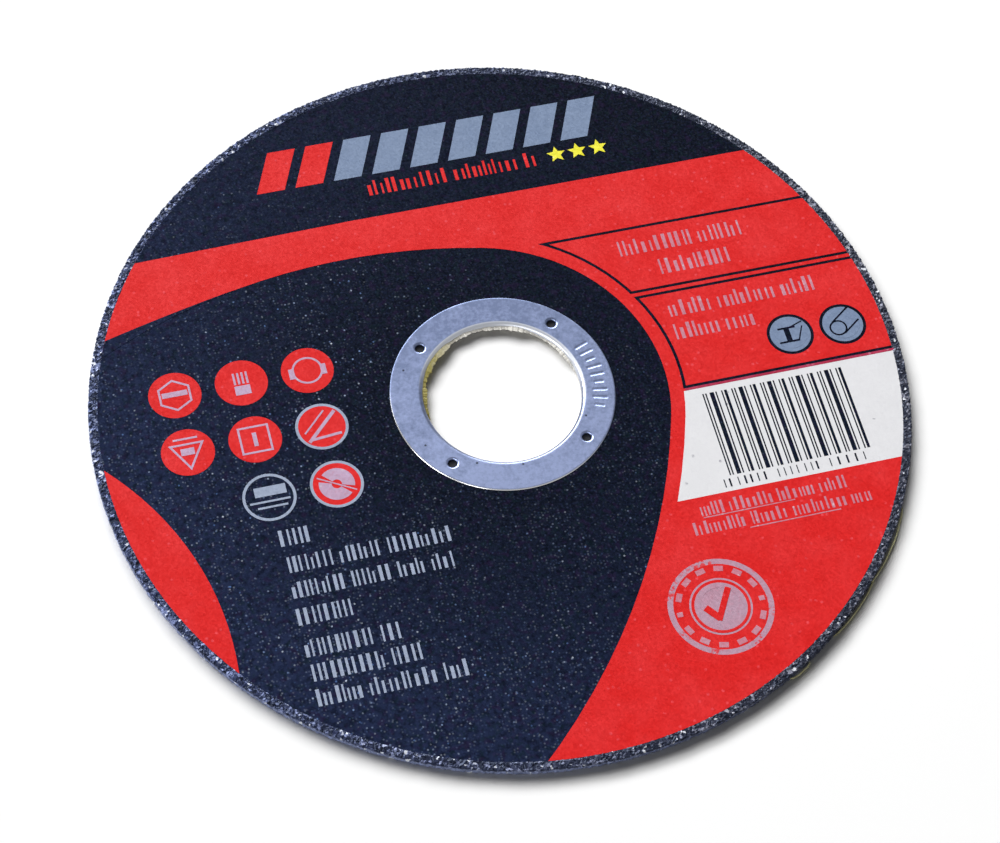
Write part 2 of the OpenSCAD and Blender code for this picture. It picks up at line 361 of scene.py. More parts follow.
def bonded_grain():
    """Broken grain of the rim: dark resin with clear grains, bluer on the left, with painted light on the
    side wall at the lower left.
    """
    finish = Finish("bonded_grain", Roughness=0.38, Specular_IOR_Level=0.28, Specular_Tint=INK_SHEEN)
    luck = finish.add("ShaderNodeAttribute", {"attribute_name": "grain"}, out="Fac")
    dust = finish.noise(0.2, detail=2)
    aside = finish.part_of(finish.place, "X")
    along = finish.part_of(finish.place, "Y")
    blue = finish.ramp(0.97 * aside - 0.26 * along, 35, -35)
    body = finish.mix(luck, RESIN_DARK, finish.mix(blue, RESIN_GREY, RESIN_BLUE))
    clear = finish.mix(blue, CLEAR_GREY, CLEAR_BLUE)
    body = finish.mix(finish.ramp(luck, 0.68, 0.96) * finish.ramp(dust, 0.3, 0.6), body, clear)
    # Painted light: the side wall is made paler at the lower left
    lower_left = finish.ramp(0.77 * aside + 0.64 * along, 0, -42)
    side = finish.ramp(finish.part_of(finish.place, "Z"), 0.95, 0.6) * lower_left
    body = finish.mix(side * (0.5 + 0.5 * luck), body, PAINTED_LIT_SIDE)
    body = finish.mix(finish.ramp(luck, 0.95, 0.97) * 0.8, body, BRIGHT_GRAIN)
    finish.set(Base_Color=body, Normal=finish.bump(dust, 0.02, 0.5))
    return finish.material


def moulded_back():
    """Resin and grain over a woven glass mesh, which shows on the back and in the arbor hole, with bright
    specks in the painted glint colour; above the back it turns dark navy, painted shade in the pockets and
    walls of the disc.
    """
    finish = Finish("moulded_back", Roughness=0.6, Specular_IOR_Level=0.4)
    pitch = 5.0
    bare_share = 0.42
    threads = []
    for axis in ("X", "Y"):
        along = finish.part_of(finish.place, axis)
        wave = finish.add("ShaderNodeMath", {"operation": "PINGPONG"}, {0: along, 1: pitch / 2})
        threads.append(finish.ramp(wave / pitch, bare_share, 0.5))
    weave = finish.add("ShaderNodeMath", {"operation": "MAXIMUM"}, {0: threads[0], 1: threads[1]})
    grain = finish.noise(GRAIN * 1.3, detail=2)
    body = finish.mix(grain, BACK_DARK, BACK_LIGHT)
    body = finish.mix(weave * 0.5 * grain, body, BACK_THREAD)
    # Bright grain specks in the colour of the painted glints
    body = finish.mix(finish.specks(GRAIN * 2, 0.2, 0.35) * 0.5, body, PAINTED_GLINT)
    # Painted shade: dark navy above the back, inside the pockets and walls of the disc
    body = finish.mix(finish.ramp(finish.part_of(finish.place, "Z"), 0.3, 0.4), body, NAVY)
    finish.set(Base_Color=body, Normal=finish.bump(weave + 0.4 * grain, 0.08, 0.7))
    return finish.material


def tin_plate():
    """Satin tin plate with faint clouds, rolling marks, fine scratches and a few dark pits. The rolled edge
    has a painted highlight on the far side and painted shade on the near side; the outer edge has painted
    shade to the upper left and a painted highlight to the lower left."""
    finish = Finish("tin_plate", Metallic=1.0)
    clouds = finish.noise(3.2, detail=5, roughness=0.65)
    rolled = finish.noise(0.3, detail=2, at=finish.vector("MULTIPLY", finish.place, (0.12, 1.6, 1)))
    scratched = finish.noise(0.5, detail=3, at=finish.vector("MULTIPLY", finish.place, (2.2, 0.16, 1)))
    scratches = finish.ramp(scratched, 0.68, 0.74) * finish.ramp(clouds, 0.4, 0.6)
    aside = finish.part_of(finish.place, "X")
    along = finish.part_of(finish.place, "Y")
    radius = finish.length(finish.vector("MULTIPLY", finish.place, (1, 1, 0)))
    roll_end = ARBOR_R + ROLL_R

    stains = 2 * (clouds - 0.5) + 1.3 * (finish.noise(0.45, detail=3) - 0.5)
    # Random stains, and darker towards the far side
    stains_and_far_side = 0.1 + 0.8 * finish.ramp(along, -15, 15) + stains
    plate = finish.mix(stains_and_far_side, TIN, TIN_DARKER)
    plate = finish.mix(0.35 * scratches, plate, TIN_SCRATCHED)
    # Painted highlight along the rolled edge on the far side
    highlight_side = finish.ramp(0.3 * aside + 0.95 * along, -1, 5)
    painted_roll_highlight = finish.ramp(radius, roll_end + 0.05, roll_end - 0.1) * highlight_side
    plate = finish.mix(painted_roll_highlight, plate, TIN_PAINTED_HIGHLIGHT)
    # Painted shade on the rolled edge on the near side, less of it to the left
    near_side = finish.ramp(0.2 * aside + 0.98 * along, 3, -4)
    painted_roll_shade = finish.ramp(radius, roll_end, roll_end - 0.1) * near_side
    plate = finish.mix((0.4 + 0.4 * finish.ramp(aside, -8, 4)) * painted_roll_shade, plate, TIN_PAINTED_SHADE)
    # Painted shade on the outer edge towards the upper left
    edge_shade_side = finish.ramp(0.86 * along - 0.51 * aside, -3, 4)
    painted_edge_shade = finish.ramp(radius, FLANGE_R - 0.24, FLANGE_R - 0.14) * edge_shade_side
    plate = finish.mix(0.9 * painted_edge_shade, plate, TIN_EDGE_SHADE)
    # Painted highlight on the outer edge towards the lower left
    edge_highlight_side = finish.ramp(0.42 * aside + 0.91 * along, -3, -12)
    wear_and_edge_highlight = finish.ramp(radius, FLANGE_R - 0.2, FLANGE_R - 0.1) * edge_highlight_side
    plate = finish.mix(wear_and_edge_highlight, plate, TIN_EDGE_HIGHLIGHT)
    pits = finish.specks(2.1, 0.09, 0.1)
    finish.set(
        Base_Color=finish.mix(pits * 0.9, plate, TIN_PIT),
        Roughness=0.24 + 0.1 * clouds + 0.06 * rolled + 0.06 * painted_roll_highlight - 0.14 * wear_and_edge_highlight,
        Normal=finish.bump(rolled + clouds, 0.003, 0.4),
    )
    return finish.material


def fibre_resin(name, pale_x, olive_light):
    """Olive resin that gives way to torn pale glass fibre to the right of pale_x."""
    finish = Finish(name, Roughness=0.55, Specular_IOR_Level=0.3)
    patches = finish.noise(1.6, detail=3) * 6
    strands = finish.noise(0.14, detail=2)
    olive = finish.mix(strands, OLIVE_DARK, olive_light)
    pale = finish.mix(strands, FIBRE_DARK, FIBRE_PALE)
    aside = finish.part_of(finish.place, "X") + patches
    finish.set(
        Base_Color=finish.mix(finish.ramp(aside, pale_x + 2, pale_x + 8), olive, pale),
        Normal=finish.bump(strands, 0.05, 0.8),
    )
    return finish.material


BLACK_INK = black_ink()
RED_INK = colour_ink("red_ink", RED_TONES, 0.06)
GREY_INK = grey_ink()
LILAC_INK = colour_ink("lilac_ink", LILAC_TONES, 0.1)
PALE_LILAC_INK = colour_ink("pale_lilac_ink", PALE_LILAC_TONES, 0.1)
CRIMSON_INK = colour_ink("crimson_ink", CRIMSON_TONES, 0.2)
TIN_PLATE = tin_plate()
NODE_FINISHES = {
    "black_print": BLACK_INK,
    "red_print": RED_INK,
    "white_print": colour_ink("white_ink", WHITE_TONES, 0.003, 0.05),
    "grey_print": GREY_INK,
    "yellow_print": colour_ink("yellow_ink", YELLOW_TONES, 0.08),
    "abrasive_disc": moulded_back(),
}
for node, material in NODE_FINISHES.items():
    frame["nodes"][node].data.materials.clear()
    frame["nodes"][node].data.materials.append(material)


# Meshes, with points in millimetres


def shape_object(name, vertices, faces):
    mesh = bpy.data.meshes.new(name)
    mesh.from_pydata((np.asarray(vertices) * MM).tolist(), [], faces)
    shape = bpy.data.objects.new(name, mesh)
    scene.collection.objects.link(shape)
    return shape


def add_piece(name, vertices, faces, material, slot):
    """A shape that rides on the wheel."""
    piece = shape_object(name, vertices, faces)
    piece.data.materials.append(material)
    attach(piece, "root")
    return piece


def joined(shapes):
    """Points and faces of several shapes as those of one mesh."""
    points, faces = [], []
    for more_points, more_faces in shapes:
        start = sum(len(p) for p in points)
        points.append(more_points)
        faces += [tuple(start + i for i in face) for face in more_faces]
    return np.concatenate(points), faces


def full_turn(columns):
    return np.arange(columns) / columns * 2 * math.pi


def turned_points(radius, height, turn, middle=(0, 0)):
    """Points about an upright axis."""
    x = middle[0] + radius * np.cos(turn)
    y = middle[1] + radius * np.sin(turn)
    return np.stack([x, y, 0 * turn + height], 1)


def band_faces(rows, columns):
    """Quads of a closed band: rows run round the section, columns round the axis."""
    return [
        (
            r * columns + c,
            r * columns + (c + 1) % columns,
            (r + 1) % rows * columns + (c + 1) % columns,
            (r + 1) % rows * columns + c,
        )
        for r in range(rows)
        for c in range(columns)
    ]


def tube_faces(sides, steps):
    """Faces of a closed tube with flat ends: sides run round it, steps along it."""
    faces = []
    for k in range(sides):
        a, b = k * steps, (k + 1) % sides * steps
        faces += [(a + i, a + i + 1, b + i + 1, b + i) for i in range(steps - 1)]
    near_end = [k * steps for k in range(sides)]
    far_end = [k * steps + steps - 1 for k in reversed(range(sides))]
    return [*faces, near_end, far_end]


def torn_line(rng, turn, waves, least, fade):
    """A ragged closed line: waves of random height and phase, the finer ones lower."""
    line = 0 * turn
    for count in waves:
        line += rng.uniform(least, 1) * np.sin(count * turn + rng.uniform(0, 6)) / count**fade
    return line


# Rim

CRUST_COLUMNS = 2800
CRUST_FROM = 55
GRAIN_COUNT = 8600
GRAIN_LIFT = 0.13
GRAIN_LEAN = 0.4
THREAD_R = 0.13
THREAD_SIDES = 6
THREAD_OUT = 0.55
# Start and sweep of each thread in degrees, and its height
RIM_THREADS = [(329, -13, 0.34), (317, -11, 0.26), (301, -4, 0.28), (72, -12, 0.2)]


def crust_rows():
    """Rows of the crust, from the print over the edge to the back: radius, height, and the shares of
    a grain's lift that go outwards and upwards."""
    inner = PRINT_R - 0.04
    rows = [(inner - 0.1, DISC_T - 0.05, 0, 0)]
    for share in np.linspace(0, 1, 13):
        rows.append((inner + (DISC_R - 0.06 - inner) * share, DISC_T, 0, min(1, 0.35 + share * 3)))
    rows.append((DISC_R - 0.01, DISC_T - 0.02, 0.7, 0.7))
    rows += [(DISC_R, z, 1, 0) for z in np.linspace(DISC_T - 0.08, 0.08, 9)]
    return [*rows, (DISC_R - 0.03, 0.004, 1, 0), (inner - 0.1, 0.03, 0, 0)]


def rim_grain():
    """Crust of broken grains over the bare rim: each grain is a small tilted facet. The place of a grain is
    its way over the top from CRUST_FROM and down the side, and its way round."""
    rng = np.random.default_rng(11)
    turn = full_turn(CRUST_COLUMNS)
    rows = crust_rows()
    crest = DISC_R - CRUST_FROM
    way_over = rng.uniform(0.4, crest + DISC_T, GRAIN_COUNT)
    way_round = rng.uniform(0, 2 * math.pi * DISC_R, GRAIN_COUNT)
    grains = np.stack([way_over, way_round], 1)
    tree = kdtree.KDTree(GRAIN_COUNT)
    for i, (over, around) in enumerate(grains):
        tree.insert((over, around, 0), i)
    tree.balance()
    height = rng.beta(1.5, 2.5, GRAIN_COUNT) * GRAIN_LIFT
    lean = rng.normal(0, GRAIN_LEAN, (GRAIN_COUNT, 2))
    grain_luck = rng.uniform(0, 1, GRAIN_COUNT)
    points = np.zeros((len(rows), CRUST_COLUMNS, 3))
    luck = np.zeros((len(rows), CRUST_COLUMNS))
    for r, (radius, z, outwards, upwards) in enumerate(rows):
        on_top = z > DISC_T - 0.01
        over = radius - CRUST_FROM if on_top else crest + DISC_T - z
        for c in range(CRUST_COLUMNS):
            spot = (over, turn[c] * DISC_R, 0)
            _, grain, _ = tree.find(spot)
            lift = min(max(0.008, height[grain] + lean[grain] @ (grains[grain] - spot[:2])), GRAIN_LIFT)
            luck[r, c] = grain_luck[grain]
            far = radius + lift * outwards
            points[r, c] = (far * math.cos(turn[c]), far * math.sin(turn[c]), z + lift * upwards)
    faces = band_faces(len(rows), CRUST_COLUMNS)
    piece = add_piece("rim_grain", points.reshape(-1, 3), faces, bonded_grain(), "abrasive")
    attribute = piece.data.attributes.new("grain", "FLOAT", "POINT")
    attribute.data.foreach_set("value", luck.ravel().astype(np.float32))


def wander(rng, low, high, steps):
    """A slow random line between two limits."""
    return np.interp(np.linspace(0, 9, steps), range(10), rng.uniform(low, high, 10))


def rim_threads():
    """Ends of the glass-fibre mesh that stand out along the rim, each a thin bent strand."""
    rng = np.random.default_rng(8)
    strands = []
    for start, sweep, z in RIM_THREADS:
        steps = max(8, int(abs(sweep) * 3))
        turn = np.radians(start + np.linspace(0, sweep, steps))
        ends = np.sin(np.linspace(0, math.pi, steps)) ** 0.4
        radius = DISC_R - 0.06 + THREAD_OUT * ends + wander(rng, -0.05, 0.06, steps)
        height = z + wander(rng, -0.04, 0.04, steps)
        points = []
        for k in range(THREAD_SIDES):
            around = k / THREAD_SIDES * 2 * math.pi
            side_height = np.maximum(height + THREAD_R * math.sin(around), 0.003)
            points.append(turned_points(radius + THREAD_R * math.cos(around), side_height, turn))
        strands.append((np.concatenate(points), tube_faces(THREAD_SIDES, steps)))
    # The threads take the lighter olive, painted light on strands in shadow
    finish = fibre_resin("rim_thread", 2 * DISC_R, OLIVE_PAINTED_LIGHT)
    add_piece("rim_threads", *joined(strands), finish, "abrasive")


# Flash in the arbor hole

FLASH_COLUMNS = 720
FLASH_PALE_X = -7.5
# Middle and half width of each swell in degrees, and its reach
FLASH_SWELLS = [(144, 46, 0.8), (102, 36, 0.64), (66, 28, 0.62), (30, 22, 0.45), (260, 25, 0.06)]


def arbor_hole_flash():
    """Ragged resin and fibre in the arbor hole, up over the foot of the collar."""
    rng = np.random.default_rng(5)
    turn = full_turn(FLASH_COLUMNS)
    ragged = torn_line(rng, turn, (7, 17, 41, 90, 170), 0.6, 0.3)
    swell = np.zeros(FLASH_COLUMNS)
    for middle, width, reach in FLASH_SWELLS:
        away = np.degrees(np.abs(np.angle(np.exp(1j * (turn - math.radians(middle))))))
        swell = np.maximum(swell, reach * np.clip(1 - away / width, 0, 1) ** 0.5)
    top = np.minimum(COLLAR_FOOT + 0.1 + 0.08 * ragged + 0.8 * swell, FLANGE_TOP - 0.14)
    foot = 0.01 + 0.02 * rng.uniform(0, 1, FLASH_COLUMNS)
    lip = np.maximum(0.95 * top, foot + 0.05)
    reach_in = swell * np.clip(0.75 + 0.45 * ragged, 0.25, 1.4)
    inner = ARBOR_R - 0.02 - reach_in - 0.03 * rng.uniform(0, 1, FLASH_COLUMNS)
    wall = ARBOR_R - 0.01
    outer = ARBOR_R + 0.12
    rows = [(outer, foot), (wall, foot), (inner, lip - 0.05), (inner, lip), (wall, top), (outer, top)]
    points = np.concatenate([turned_points(r, z, turn) for r, z in rows])
    finish = fibre_resin("hole_flash", FLASH_PALE_X, OLIVE_RESIN)
    add_piece("arbor_hole_flash", points, band_faces(len(rows), FLASH_COLUMNS), finish, "abrasive")


# The tin-plated ring

EDGE_R = 0.24
RING_COLUMNS = 1080
SHARP_ANGLE = math.radians(32)
HOLE_CIRCLE_R = 13.6
HOLE_R = 0.65
HOLE_COLUMNS = 48
MOUTH_R = 0.95
MOUTH_DEPTH = 0.2
BURR_DEPTH = 0.45
BURR_T = 0.1
BURR_COLUMNS = 40
STROKE_COUNT = 9
STROKE_STEP = 5.4
STROKE_W = 0.2
STROKE_LONG = 0.95
STROKE_SHORT = 0.6
STROKE_SOFT = 0.18
STROKE_DEPTH = 0.043


def quarter_circle(middle, radius, start, steps):
    """Points of a section along a quarter circle."""
    turns = [start + k / steps * math.pi / 2 for k in range(steps + 1)]
    return [(middle[0] + radius * math.cos(t), middle[1] + radius * math.sin(t)) for t in turns]


def ring_section():
    """Radius and height round the section of the ring: edge, top, rolled corner, collar, underside."""
    low = FLANGE_TOP - SHEET_T
    edge_mid = (FLANGE_R - EDGE_R, FLANGE_TOP - EDGE_R)
    roll_mid = (ARBOR_R + ROLL_R, FLANGE_TOP - ROLL_R)
    section = [(FLANGE_R, low), *quarter_circle(edge_mid, EDGE_R, 0, 6)]
    section += [(r, FLANGE_TOP) for r in np.linspace(edge_mid[0], roll_mid[0], 44)[1:-1]]
    section += quarter_circle(roll_mid, ROLL_R, math.pi / 2, 12)
    section += [(ARBOR_R, z) for z in np.linspace(roll_mid[1], COLLAR_FOOT, 6)[1:]]
    section += [(ARBOR_R + SHEET_T, COLLAR_FOOT), (ARBOR_R + SHEET_T, roll_mid[1]), (roll_mid[0], low)]
    return np.array(section)


def stamped_depth(x, y):
    """Depth of the row of plain strokes pressed into the flange, at points of its top."""
    depth = np.zeros_like(x)
    for k in range(STROKE_COUNT):
        turn = math.radians((k - (STROKE_COUNT - 1) / 2) * STROKE_STEP)
        along = x * math.cos(turn) + y * math.sin(turn) - HOLE_CIRCLE_R - 0.1
        across = y * math.cos(turn) - x * math.sin(turn)
        half = STROKE_LONG if k % 3 else STROKE_SHORT
        inside = np.clip((half - np.abs(along)) / STROKE_SOFT + 1, 0, 1)
        inside = inside * np.clip((STROKE_W / 2 - np.abs(across)) / STROKE_SOFT + 1, 0, 1)
        depth = np.maximum(depth, inside * inside * (3 - 2 * inside) * STROKE_DEPTH)
    return depth


def hole_middles():
    turns = [math.radians(45 + 90 * k) for k in range(4)]
    return [(HOLE_CIRCLE_R * math.cos(t), HOLE_CIRCLE_R * math.sin(t)) for t in turns]


def turned_solid(rows, columns, middle):
    """Points and faces of a shape turned about an upright axis, with flat ends."""
    points = [turned_points(r, z, full_turn(columns), middle) for r, z in rows]
    last = (len(rows) - 1) * columns
    faces = band_faces(len(rows), columns)[:last]
    faces += [tuple(reversed(range(columns))), tuple(range(last, last + columns))]
    return np.concatenate(points), faces


def hole_cutter():
    """The inside of the four pierced holes, with their drawn-in mouths."""
    funnel = [
        (HOLE_R, FLANGE_TOP - SHEET_T - 0.3),
        (HOLE_R, FLANGE_TOP - MOUTH_DEPTH),
        (HOLE_R + 0.06, FLANGE_TOP - 0.11),
        (HOLE_R + 0.16, FLANGE_TOP - 0.04),
        (MOUTH_R, FLANGE_TOP + 0.004),
        (MOUTH_R + 0.1, FLANGE_TOP + 0.1),
    ]
    funnels = [turned_solid(funnel, HOLE_COLUMNS, middle) for middle in hole_middles()]
    return shape_object("hole_cutter", *joined(funnels))


def arbor_ring():
    """The ring with its rolled edge, torn collar foot, pressed strokes and four pierced holes."""
    rng = np.random.default_rng(3)
    section = ring_section()
    turn = full_turn(RING_COLUMNS)
    radius = np.repeat(section[:, :1], RING_COLUMNS, 1)
    height = np.repeat(section[:, 1:], RING_COLUMNS, 1)
    foot = section[:, 1] < COLLAR_FOOT + 0.001
    height[foot] += 0.05 * torn_line(rng, turn, (5, 11, 23, 47, 97, 190), 0.5, 0.4)
    radius[foot] += 0.02 * rng.uniform(-1, 1, RING_COLUMNS)
    top = section[:, 1] > FLANGE_TOP - 0.0001
    x, y = radius * np.cos(turn), radius * np.sin(turn)
    height[top] -= stamped_depth(x[top], y[top])
    points = np.stack([x, y, height], 2).reshape(-1, 3)
    piece = shape_object("tin_ring", points, band_faces(len(section), RING_COLUMNS))
    cutter = hole_cutter()
    cut = piece.modifiers.new("holes", "BOOLEAN")
    cut.object = cutter
    cut.operation = "DIFFERENCE"
    cut.solver = "EXACT"
    bpy.context.view_layer.update()
    pierced = bpy.data.meshes.new_from_object(piece.evaluated_get(bpy.context.evaluated_depsgraph_get()))
    piece.modifiers.clear()
    piece.data = pierced
    bpy.data.objects.remove(cutter)
    pierced.materials.clear()
    pierced.materials.append(TIN_PLATE)
    pierced.shade_smooth()
    pierced.set_sharp_from_angle(angle=SHARP_ANGLE)
    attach(piece, "root")
    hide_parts("arbor_ring")


def hole_burrs():
    """The torn tubes that the four pierced holes push down into the disc."""
    top = FLANGE_TOP - SHEET_T + 0.02
    foot = FLANGE_TOP - BURR_DEPTH
    rows = [(HOLE_R, top), (HOLE_R, foot), (HOLE_R + BURR_T, foot), (HOLE_R + BURR_T, top)]
    burrs = []
    for middle in hole_middles():
        points = [turned_points(r, z, full_turn(BURR_COLUMNS), middle) for r, z in rows]
        burrs.append((np.concatenate(points), band_faces(len(rows), BURR_COLUMNS)))
    add_piece("hole_burrs", *joined(burrs), TIN_PLATE, "tinned_steel")


# Rows of small upright strokes

# Left end, foot, length and height of a row, share of tall strokes, and gap between strokes in heights
GREY_ROWS = [
    (-35.3, -17.2, 4.4, 2.5, 0.9, 0.2),
    (-35.0, -21.35, 24.2, 2.4, 0.8, 0.2),
    (-35.3, -25.25, 22.3, 2.4, 0.8, 0.2),
    (-35.5, -29.35, 9.6, 2.5, 0.9, 0.2),
    (-35.5, -34.15, 13.0, 2.5, 0.9, 0.2),
    (-35.3, -37.8, 15.0, 2.5, 0.9, 0.2),
    (-35.5, -41.45, 20.9, 2.5, 0.3, 0.2),
]
LILAC_ROWS = [
    (22.5, 18.55, 18.6, 2.6, 0.7, 0.2),
    (27.5, 14.35, 12.0, 2.6, 0.5, 0.2),
    (26.7, 6.95, 21.9, 2.6, 0.5, 0.2),
    (26.5, 3.05, 12.4, 2.6, 0.3, 0.2),
    (21.7, -25.4, 21.1, 2.0, 0.25, 0.2),
    (20.0, -28.1, 25.9, 2.0, 0.25, 0.2),
]
RED_ROWS = [(-10.5, 36.9, 26.2, 2.6, 0.3, 0.2)]
DARK_ROWS = [(26.2, -21.75, 20.9, 1.3, 1, 0.6)]
LOW_STROKE = 0.72
SLAB_T = 0.012
SLAB_STEP = 0.004


def row_strokes(row, rng):
    """Low and high corner of each stroke in a row: groups of a few strokes, some of them tall."""
    left, foot, length, height, tall_share, gap = row
    x = left
    strokes = []
    while x < left + length - 0.4 * height:
        for _ in range(rng.randint(5, 12)):
            width = height * rng.choice((0.11, 0.14, 0.2))
            tall = height if rng.random() < tall_share else LOW_STROKE * height
            if x + width > left + length:
                break
            strokes.append(((x, foot), (x + width, foot + tall)))
            x += width + height * gap * rng.choice((0.75, 1, 1.3))
        x += 1.5 * gap * height
    return strokes


def add_slab(vertices, faces, corners, z, thickness=SLAB_T):
    """A thin four-sided slab of ink that stands on height z."""
    start = len(vertices)
    for height in (z, z + thickness):
        vertices += [(x, y, height) for x, y in corners]
    sides = [(i, (i + 1) % 4, 4 + (i + 1) % 4, 4 + i) for i in range(4)]
    for face in [(3, 2, 1, 0), (4, 5, 6, 7), *sides]:
        faces.append([start + i for i in face])


def stroke_piece(name, rows, z, material, slot):
    """Rows of strokes as one piece of ink."""
    rng = random.Random(name)
    vertices, faces = [], []
    for row in rows:
        for (x0, y0), (x1, y1) in row_strokes(row, rng):
            add_slab(vertices, faces, [(x0, y0), (x1, y0), (x1, y1), (x0, y1)], z)
    add_piece(name, vertices, faces, material, slot)


def mark_piece(name, quads, z, material, slot):
    """Slabs of ink. Each is a trace thicker than the last, so that crossing marks share no face."""
    vertices, faces = [], []
    for k, corners in enumerate(quads):
        add_slab(vertices, faces, corners, z, SLAB_T * (1 + SLAB_STEP * k))
    add_piece(name, vertices, faces, material, slot)


# Plain marks: bars and closed loops, each as the four corners of its slabs


def bar(x, y, turn, length, width):
    """A straight bar about its middle."""
    ahead = np.array([math.cos(math.radians(turn)), math.sin(math.radians(turn))]) * length / 2
    aside = np.array([-ahead[1], ahead[0]]) / length * width
    return [[(x, y) + a * ahead + b * aside for a, b in ((-1, -1), (1, -1), (1, 1), (-1, 1))]]


def loop(x, y, sides, radius, line, turn=0, gaps=()):
    """A regular outline about its middle, open within 12 degrees of each gap."""

    def corner(k, r):
        angle = math.radians(turn + k * 360 / sides)
        return np.array([x + r * math.cos(angle), y + r * math.sin(angle)])

    inner = radius - line / math.cos(math.pi / sides)
    quads = []
    for k in range(sides):
        middle = turn + (k + 0.5) * 360 / sides
        if all(abs((middle - gap + 180) % 360 - 180) > 12 for gap in gaps):
            quads.append([corner(k, inner), corner(k, radius), corner(k + 1, radius), corner(k + 1, inner)])
    return quads


def moved(quads, middle):
    return [[np.add(corner, middle) for corner in quad] for quad in quads]


# Marks on the round spots, by column and row from the middle spot

SPOT_MID = (-35.25, 0.1)
SPOT_PITCH = 9.4
DARK_SPOT = (0, -1)
FOUR_BARS = [quad for k in range(4) for quad in bar(0.6 * k - 0.9, 0.75, 90, 1.9, 0.3)]
SPOT_MARKS = {
    (-1, 1): loop(0, 0, 6, 2.6, 0.3, 30) + bar(0, 0.2, 0, 3.6, 0.85),
    (0, 1): bar(0, -1.2, 0, 2.2, 1.5) + FOUR_BARS,
    (1, 1): loop(0, 0, 40, 2.2, 0.3) + bar(-2.25, -0.2, 90, 1.7, 0.8) + bar(2.25, -0.2, 90, 1.7, 0.8),
    (-1, 0): loop(0, 0, 3, 2.9, 0.3, -90) + bar(0, 0.1, 0, 1.9, 1.1) + bar(0, 2.2, 0, 3.4, 0.3),
    (0, 0): loop(0, 0, 4, 3.1, 0.3, 45) + bar(0, 0, 90, 2.2, 0.6),
    (1, 0): bar(0, 0, 45, 6.2, 0.5) + bar(-0.9, 0.9, 45, 4.6, 0.25) + bar(0.3, -1.7, 5, 4.4, 0.4),
    DARK_SPOT: bar(0.3, 1.0, 0, 4.4, 1.5) + bar(0, -0.6, 0, 5.6, 0.3) + bar(0.2, -1.5, 0, 4.2, 0.3),
    (1, -1): loop(0, 0, 40, 2.5, 1.8, 0, (150, 330)) + bar(0, 0, 150, 5.8, 0.2),
}


def spot_marks():
    """Marks on the red spots and on the dark spot."""
    on_red, on_dark = [], []
    for (column, row), quads in SPOT_MARKS.items():
        marks = on_dark if (column, row) == DARK_SPOT else on_red
        marks += moved(quads, (SPOT_MID[0] + column * SPOT_PITCH, SPOT_MID[1] + row * SPOT_PITCH))
    mark_piece("plain_marks_red_spots", on_red, COLOUR_TOP, PALE_LILAC_INK, "grey_ink")
    mark_piece("plain_marks_dark_spot", on_dark, GROUND_TOP, GREY_INK, "grey_ink")


GREY_SPOT_R = 2.4
GREY_SPOTS = [(42.55, 0.4), (50.45, 0.4)]
BEAM_MARK = [
    *bar(-0.3, 1.1, 0, 2.6, 0.3),
    *bar(-0.4, -1.2, 0, 3.0, 0.3),
    *bar(-0.35, 0, 90, 2.2, 0.8),
    *bar(1.5, -0.1, 65, 2.5, 0.2),
    *bar(1.3, 1.5, 20, 1.9, 0.2),
]
TUBE_MARK = loop(-0.8, -0.5, 40, 1.3, 0.25) + bar(0.1, 1.65, 36, 3.6, 0.25) + bar(1.2, -0.6, 36, 3.2, 0.25)


def grey_spot_marks():
    """Full grey spots in the lower frame, with dark outlines of stock to be cut: a beam and a tube."""
    grounds, marks = [], []
    for middle, quads in zip(GREY_SPOTS, (BEAM_MARK, TUBE_MARK)):
        grounds += loop(*middle, 40, GREY_SPOT_R, GREY_SPOT_R - 0.01)
        marks += moved(quads, middle)
    mark_piece("grey_spot_grounds", grounds, COLOUR_TOP, GREY_INK, "grey_ink")
    mark_piece("grey_spot_marks", marks, COLOUR_TOP + SLAB_T, BLACK_INK, "black_ink")


# The target in the red field, and two thin lines above it

TARGET_BLOCKS = 14
TARGET_SPOT_R = 3.6
TARGET_GAP = 0.42
TICK = bar(-1.35, -0.75, -52, 2.5, 1.0) + bar(0.45, 0.3, 60, 5.2, 0.85)
LINES = bar(28.4, -25.65, 0, 13.2, 0.16) + bar(34.2, -28.5, 0, 13.1, 0.16)


def target_blocks():
    """A band of blocks between the rings of the target, with the two lines."""
    marks = LINES
    for k in range(TARGET_BLOCKS):
        turn = k / TARGET_BLOCKS * 360
        x = TARGET_MID[0] + TARGET_BAND_R * math.cos(math.radians(turn))
        y = TARGET_MID[1] + TARGET_BAND_R * math.sin(math.radians(turn))
        marks = marks + bar(x, y, turn + 90, 1.3 if k % 7 else 0.7, 0.8)
    mark_piece("plain_marks", marks, COLOUR_TOP, LILAC_INK, "grey_ink")


def target_spot():
    """The spot in the middle of the rings, with a narrow gap round it and a plain red tick on it."""
    spot = loop(*TARGET_MID, 72, TARGET_SPOT_R, 0.8)
    gap = loop(*TARGET_MID, 72, TARGET_SPOT_R + TARGET_GAP, TARGET_GAP)
    mark_piece("target_spot", spot, COLOUR_TOP, GREY_INK, "grey_ink")
    mark_piece("target_gap", gap, COLOUR_TOP, RED_INK, "red_ink")
    mark_piece("target_tick", moved(TICK, TARGET_MID), COLOUR_TOP + SLAB_T, RED_INK, "red_ink")


def panel_edge():
    """The crimson line above the white panel, where two inks overlap."""
    mark_piece("panel_edge", bar(40.75, -5.25, 0, 31.1, 0.4), COLOUR_TOP, CRIMSON_INK, "red_ink")


# The dark ground at the left end of the red band

BAND_TOP = 33.1
BAND_ARC_MID = (-16.1, -55.8)
BAND_ARC_R = 82.5
BAND_OVERLAP = 0.05
FLAT_EDGE_FROM = (-33.3, 24.92)
FLAT_EDGE_SLOPE = 0.2
FLAT_EDGE_BEND = 0.0018
DIP_FROM = -15
DIP_SLOPE = 0.0184
FILM_STEPS = 40


